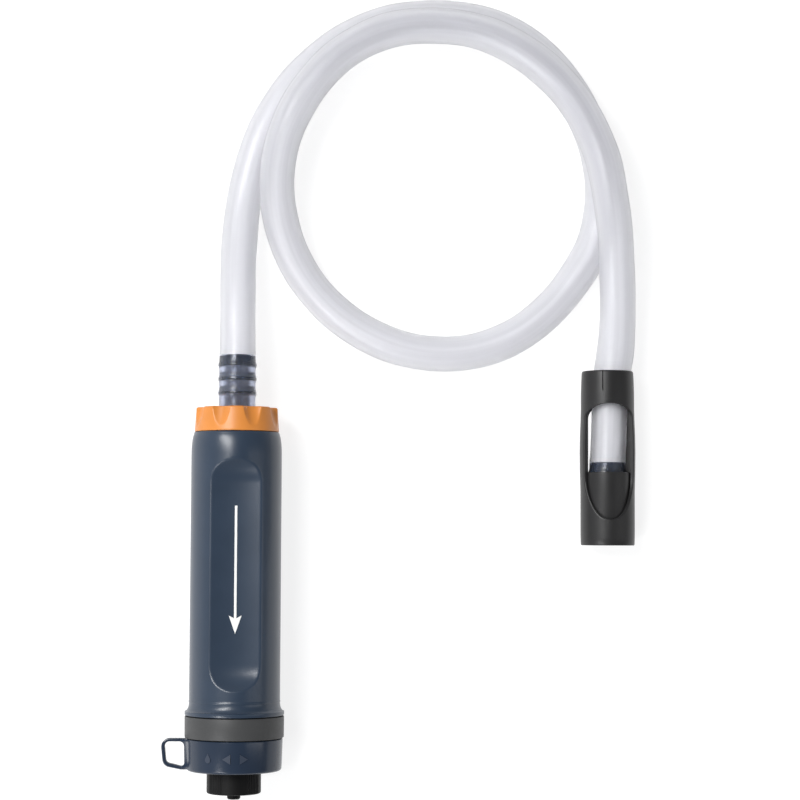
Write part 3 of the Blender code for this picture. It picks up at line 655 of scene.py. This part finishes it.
def make_barrel():
    lip = LIP_RADIUS
    outline = [(13.2, LIP_BASE), (lip - 0.3, LIP_BASE), (lip - 0.1, LIP_BASE + 0.06), (lip, LIP_BASE + 0.25)]
    outline += [(lip, LIP_BASE + 0.9)] + arc((lip, BARREL_BASE), (lip - BARREL_RADIUS, 2.9), -90, -180, 12)
    outline += [(BARREL_RADIUS + 0.1, 32.15), (BARREL_RADIUS + 0.1, 32.5), (BARREL_RADIUS, 32.7)]
    heights = spaced(33.2, GRIP_BASE - 0.4, 0.9) + spaced(GRIP_BASE - 0.22, GRIP_BASE + 9.2, SWEEP_ROW)
    heights += spaced(GRIP_BASE + 10.5, GRIP_TOP - 10.5, PLAIN_ROW)
    heights += spaced(GRIP_TOP - 9.2, GRIP_TOP + 0.22, SWEEP_ROW) + [SHOULDER - 0.8]
    outline += [(BARREL_RADIUS, height) for height in heights]
    rise = BARREL_TOP - SHOULDER
    outline += arc((BARREL_TOP_RADIUS - 0.6, SHOULDER), (1.3, rise), 0, 66, 18)
    outline += [(14.26, BARREL_TOP - 0.22), (14.1, BARREL_TOP - 0.04), (13.9, BARREL_TOP)]
    outline += [(NECK_RADIUS, BARREL_TOP), (NECK_RADIUS, 124.9), (NECK_RADIUS - 0.4, NECK_TOP)]
    outline += [(9.3, NECK_TOP), (9.3, 116.0), (10.7, 116.0), (10.7, 36.0), (13.2, 36.0)]
    vertices, faces = radius_field(outline, column_angles(GRIP_TURN), recess_radius)
    mesh = new_mesh("barrel", vertices, faces, FILTER)
    add_piece("barrel", mesh, "slate_plastic", "filter_body", ["housing_shell"], sharp=35.0)


def make_flow_arrow():
    """Plain printed arrow that shows the flow, from the hose towards the outlet."""
    tip, head, tail = 55.0, 61.0, 97.0
    right = [(2.1, head), (0.4, head - 0.9), (0.4, tail)]
    outline = [(0, tip)] + right + [(-x, height) for x, height in reversed(right)]
    mesh = prism("flow_arrow", outline, -CHANNEL_DEPTH - 0.12, -CHANNEL_DEPTH + 0.2,
                 FILTER @ Matrix.Rotation(math.radians(GRIP_TURN), 4, "Z"), axis="Y")
    add_piece("flow_arrow", mesh, "white_plastic", "filter_body")


def make_band():
    outline = [(11.4, 16.3), (13.8, 16.3), (13.8, 17.9), (13.1, 17.9), (13.1, 19.3), (13.8, 19.3)]
    outline += [(13.8, BAND_BASE), (16.15, BAND_BASE), (16.36, BAND_BASE + 0.08), (16.45, BAND_BASE + 0.3)]
    outline += [(LIP_RADIUS, 27.15), (16.42, 27.4), (16.2, 27.5), (12.8, 27.5), (12.8, 29.3), (12.0, 29.3)]
    outline += [(12.0, 30.7), (12.8, 30.7), (12.8, 33.0), (11.4, 33.0)]
    mesh = turned("collar_band", outline, FILTER, 192)
    add_piece("collar_band", mesh, "grey_plastic", "filter_body", ["adapter_band"])


# ---------------------------------------------------------------- lock ring

SCALLOP_COUNT = 8
SCALLOP_TURN = 26.5
SCALLOP_HOLLOW = 4.6
SCALLOP_FOOT = 123.2
SCALLOP_DEPTH = 2.35
RING_RADIUS = 14.08
RING_EDGE = 0.45


def scalloped(radius, height, angle):
    """Ring radius, ground away by eight hollows that deepen towards the hose."""
    if height < SCALLOP_FOOT or (radius < 12.1 and height < 129.8):
        return radius
    pitch = math.tau / SCALLOP_COUNT
    away = (angle - math.radians(FRONT + SCALLOP_TURN) + pitch / 2) % pitch - pitch / 2
    rise = (height - SCALLOP_FOOT) / (RING_TOP - SCALLOP_FOOT)
    nearest = RING_RADIUS + 0.07 - SCALLOP_DEPTH * rise ** 0.8
    centre = nearest + SCALLOP_HOLLOW
    under = SCALLOP_HOLLOW ** 2 - (centre * math.sin(away)) ** 2
    if under <= 0:
        return radius
    hollow = centre * math.cos(away) - math.sqrt(under)
    rim = max(height - (RING_TOP - RING_EDGE), 0.0)
    hollow -= RING_EDGE - math.sqrt(max(RING_EDGE ** 2 - rim ** 2, 0.0))
    return soft_min(radius, hollow, 0.16)


def make_lock_ring():
    base = BARREL_TOP + 0.15
    outline = [(12.0, base), (13.8, base), (14.0, base + 0.08), (RING_RADIUS, base + 0.3)]
    outline += [(RING_RADIUS - 0.48 * share, base + 0.3 + 7.1 * share) for share in spaced(0.04, 1.0, 0.04)]
    outline += arc((13.0, RING_TOP - 0.6), (0.6, 0.6), 5, 90, 8)
    outline += [(radius, RING_TOP) for radius in spaced(12.7, 10.6, 0.3)]
    outline += [(6.9, RING_TOP), (6.68, RING_TOP - 0.08), (6.6, RING_TOP - 0.3), (6.6, 128.4), (12.0, 128.4)]
    angles = [math.tau * index / 360 for index in range(360)]
    mesh = new_mesh("screw_ring", *radius_field(outline, angles, scalloped), FILTER)
    add_piece("screw_ring", mesh, "orange_plastic", "lock_ring", ["lock_ring"], sharp=40.0)


# ---------------------------------------------------------------- base cap and nozzle

CAP_TOP = 20.1
LOOP_HALF_THICKNESS = 1.25
# Corners of the lanyard loop and of its hole: X, height and corner radius
LOOP_OUTSIDE = (
    (-24.43, 20.05, 2.8), (-15.2, 20.05, 0.5), (-15.2, 9.75, 0.5), (-17.6, 9.72, 1.0), (-23.5, 10.9, 2.6),
)
LOOP_HOLE = (
    (-23.1, 18.95, 1.5), (-16.4, 18.95, 1.5), (-16.2, 10.85, 1.2), (-17.6, 10.95, 0.8), (-22.4, 12.1, 1.5),
)


def loop_bar():
    """Flat bar of the lanyard loop with eased edges, as a closed tube round its hole."""
    rims = list(zip(rounded(LOOP_OUTSIDE, 9), rounded(LOOP_HOLE, 9)))
    half = LOOP_HALF_THICKNESS
    lower = [(0.32, -half), (0.1, -half + 0.08), (0.0, -half + 0.32)]
    upper = [(across, -level) for across, level in reversed(lower)]
    section = [(0, across, level) for across, level in lower + upper]
    section += [(1, across, level) for _, across, level in reversed(section)]
    rows = []
    for side, across, level in section:
        row = []
        for pair in rims:
            here, there = Vector(pair[side]), Vector(pair[1 - side])
            x, height = here + (there - here).normalized() * across
            row.append((x, level, height))
        rows.append(row)
    return new_mesh("loop_bar", *skin(rows, closed_rows=True), FILTER)


def make_mark(name, outline, degrees):
    """Small raised shape on the front of the cap, from points round its centre, in a lighter navy that is
    painted highlight for the light its raised faces catch.
    """
    placed = FILTER @ Matrix.Rotation(math.radians(degrees), 4, "Z") @ Matrix.Translation((0, 0, 14.5))
    mesh = prism(name, outline, -16.14, -15.6, placed, axis="Y")
    add_piece(name, mesh, "navy_marks", "base_cap")


def make_cap():
    """Turning cap with its lanyard loop, web and three small raised marks."""
    outline = [(9.6, 9.5), (14.7, 9.5)] + arc((14.8, 10.45), (0.95, 0.95), -90, 0, 10)
    outline += [(15.85, 12.0), (16.08, 19.6), (16.04, 19.95), (15.85, CAP_TOP)]
    outline += [(14.2, CAP_TOP), (14.2, 11.5), (9.6, 11.5)]
    body = turned("cap_body", outline, FILTER, 192)
    web = [(-15.0, 0), (-13.4, -8.2), (-14.9, -5.4), (-16.1, -3.2), (-17.0, -1.75), (-17.7, -1.1)]
    web += [(x, -y) for x, y in reversed(web[1:])]
    web_mesh = prism("web", web, 10.2, 19.85, FILTER)
    hole = prism("hole", rounded(LOOP_HOLE), -12, 12, FILTER, axis="Y")
    web_mesh = combine(web_mesh, [("DIFFERENCE", hole)])
    mesh = combine(body, [("UNION", web_mesh), ("UNION", loop_bar())])
    add_piece("turning_cap", mesh, "navy_plastic", "base_cap", ["base_cap"])
    arrow = [(-1.35, 0.0), (1.25, -1.6), (1.25, 1.6)]
    drop = [(0.0, 1.75), (0.45, 0.85)] + arc((0.0, -0.35), (1.0, 1.0), 40, -220, 12) + [(-0.45, 0.85)]
    make_mark("arrow_left", arrow, -4.6)
    make_mark("arrow_right", [(-x, y) for x, y in arrow], 15.4)
    make_mark("drop_mark", drop, -28.0)


RIB_COUNT = 72
RIB_HEIGHT = 0.17
RIB_TOP = 10.2
RIB_PATCHES = 4
RIB_TURN = -40.0


def ribbed(radius, height, angle):
    """Nozzle radius: four patches of fine upright ribs on an otherwise plain wall."""
    if radius < 8.9 or height > RIB_TOP:
        return radius
    patch = math.cos(RIB_PATCHES * (angle - math.radians(FRONT + RIB_TURN)))
    fade = smoothstep(0.10, 0.35, patch) * smoothstep(RIB_TOP, RIB_TOP - 0.6, height)
    return radius + RIB_HEIGHT * fade * (0.5 + 0.5 * math.cos(RIB_COUNT * angle))


def make_nozzle():
    outline = [(2.5, 2.15), (2.65, 2.0), (8.35, 2.0)] + arc((8.35, 2.65), (0.65, 0.65), -75, 0, 8)
    outline += [(9.0, height) for height in spaced(3.0, 11.0, 0.5)] + [(8.85, 11.2), (6.2, 11.2)]
    outline += [(6.2, 4.2), (2.5, 3.3)]
    angles = [math.tau * index / 576 for index in range(576)]
    mesh = new_mesh("spout_nozzle", *radius_field(outline, angles, ribbed), FILTER)
    add_piece("spout_nozzle", mesh, "black_plastic", "outlet_nozzle", ["outlet_nozzle"], sharp=40.0)


# ---------------------------------------------------------------- coupling

WINDOW_TURN = 1.0
WINDOW_BASE = 8.6
WINDOW_TOP = 47.6
WINDOW_BOWL = 14.9
WINDOW_ARCH = 4.7
WALL_COLUMNS = 40
FRONT_HALF = math.radians(63)
BACK_HALF = math.radians(46)
SLEEVE_PROFILE = (
    (0, 8.75), (0.12, 8.92), (0.35, 9.05), (2.5, 9.12), (5, 9.15), (12, 9.15), (18, 9.15), (25, 9.32),
    (31.4, 9.4), (37, 9.3), (42, 9.1), (46, 9.0), (51, 8.98), (55.5, 8.85), (58.1, 8.72), (58.5, 8.62),
    (58.7, 8.45),
)
SLEEVE_INSIDE = ((0, 8.25), (49.4, 8.25), (51.0, 7.9), (58.1, 7.9), (58.7, 8.25))


def profile(points, height):
    """Radius at a height on a line of (height, radius) points."""
    for (low, one), (high, two) in zip(points, points[1:]):
        if height <= high:
            share = (height - low) / (high - low)
            return one + (two - one) * share
    return points[-1][1]


def window_sine(height):
    """Shape of the windows, from 0 at their ends to 1 where they are widest."""
    if not WINDOW_BASE < height < WINDOW_TOP:
        return 0.0
    rise = 1 - (height - WINDOW_BASE) / WINDOW_BOWL
    fall = 1 - (WINDOW_TOP - height) / WINDOW_ARCH
    return math.sqrt(max(1 - max(rise, fall, 0.0) ** 2, 0.0))


def sleeve_heights():
    """Rows of the sleeve, from its open end to its collar, close together at the windows' ends."""
    heights = [point[0] for point in SLEEVE_PROFILE if point[0] < WINDOW_BASE]
    bowl, arch = spaced(0.0, math.pi / 2, 0.035), spaced(math.pi / 2, 0.0, 0.055)
    heights += [WINDOW_BASE + WINDOW_BOWL * (1 - math.cos(angle)) for angle in bowl]
    heights += spaced(24.5, 42.0, 1.1)
    heights += [WINDOW_TOP - WINDOW_ARCH * (1 - math.cos(angle)) for angle in arch]
    return heights + spaced(48.5, 57.5, 0.9) + [58.1, 58.35, 58.5, 58.62, 58.7]


def wall_section(height):
    """Radii and angles round one side wall: along its outside, and back along its inside."""
    outside, inside = profile(SLEEVE_PROFILE, height), profile(SLEEVE_INSIDE, height)
    sine = window_sine(height)
    start = math.asin(sine * math.sin(FRONT_HALF))
    stop = math.pi - math.asin(sine * math.sin(BACK_HALF))
    ease = 0.22 * smoothstep(0.0, 0.35, sine)
    shares = [0.0, 0.012, 0.03] + spaced(0.06, 0.94, 0.88 / (WALL_COLUMNS - 7)) + [0.97, 0.988, 1.0]
    section = []
    for share in shares:
        angle = start + (stop - start) * share
        edge = min(share, 1 - share)
        section.append((outside - ease * max(1 - edge / 0.03, 0.0) ** 2, angle))
    return section + [(inside, angle) for _, angle in reversed(section)]


def make_sleeve():
    """Sleeve as two side walls that meet where there is no window, with a slit in its collar."""
    heights = sleeve_heights()
    vertices, faces = [], []
    loop = 2 * WALL_COLUMNS
    for side in (1, -1):
        first = len(vertices)
        for height in heights:
            for radius, angle in wall_section(height):
                turn = math.radians(FRONT + WINDOW_TURN) + side * angle
                vertices.append((radius * math.cos(turn), radius * math.sin(turn), height))
        for row in range(len(heights) - 1):
            closed = window_sine(heights[row]) < 1e-6 and window_sine(heights[row + 1]) < 1e-6
            for index in range(loop):
                if closed and index in (WALL_COLUMNS - 1, loop - 1):
                    continue
                below, after = first + row * loop, (index + 1) % loop
                faces.append((below + index, below + after, below + loop + after, below + loop + index))
        for row in (0, len(heights) - 1):
            below = first + row * loop
            for index in range(WALL_COLUMNS - 1):
                back = below + loop - 1 - index
                faces.append((below + index, below + index + 1, back - 1, back))
    mesh = new_mesh("slide_sleeve", vertices, faces, COUPLING)
    placed = COUPLING @ Matrix.Rotation(math.radians(WINDOW_TURN), 4, "Z")
    slit = prism("slit", [(-2.68, -12), (-2.32, -12), (-2.32, -8.0), (-2.68, -8.0)], 51.8, 60, placed)
    mesh = combine(mesh, [("DIFFERENCE", slit)])
    nodes = ["coupling_sleeve"]
    return add_piece("slide_sleeve", mesh, "coupling_plastic", "coupling_sleeve", nodes, sharp=40.0)


def make_coupling_core():
    outline = [(6.9, 1.12), (7.02, 1.0), (7.7, 1.0), (7.92, 1.1), (8.0, 1.3), (8.0, 24.05)]
    outline += arc((7.65, 24.25), (0.35, 0.35), 0, 90, 5) + [(7.1, 24.6), (6.95, 24.5), (6.9, 24.3)]
    outline += [(6.9, 9.2), (4.3, 9.2), (4.3, 7.4), (6.9, 7.4)]
    cup = turned("socket_cup", outline, COUPLING)
    cup = add_piece("socket_cup", cup, "coupling_plastic", "filter_body", ["coupling_cup"])
    outline = [(2.0, 5.1), (3.8, 5.1), (4.0, 5.3), (4.0, 5.5), (3.3, 5.5), (3.3, 6.8), (4.0, 6.8), (4.0, 9.5)]
    outline += [(6.6, 9.5), (6.6, 11.4)] + barb_outline(11.4, COUPLING_BARB_TIP)
    outline += [(2.8, COUPLING_BARB_TIP), (2.8, 8.0), (2.0, 7.0)]
    insert = turned("barb_insert", outline, COUPLING)
    insert = add_piece("barb_insert", insert, "navy_plastic", "filter_body", ["coupling_barb"])
    return cup, insert


# ---------------------------------------------------------------- everything

bpy.context.scene.view_settings.view_transform = "Standard"
make_camera()
make_floor()
make_walls()
make_lights()
dress_cad_nodes()
tube, tube_path, tube_length = make_hose()
make_hose_barb()
make_barrel()
make_flow_arrow()
make_band()
make_lock_ring()
make_cap()
make_nozzle()
socket_cup, barb_insert = make_coupling_core()
slide_sleeve = make_sleeve()
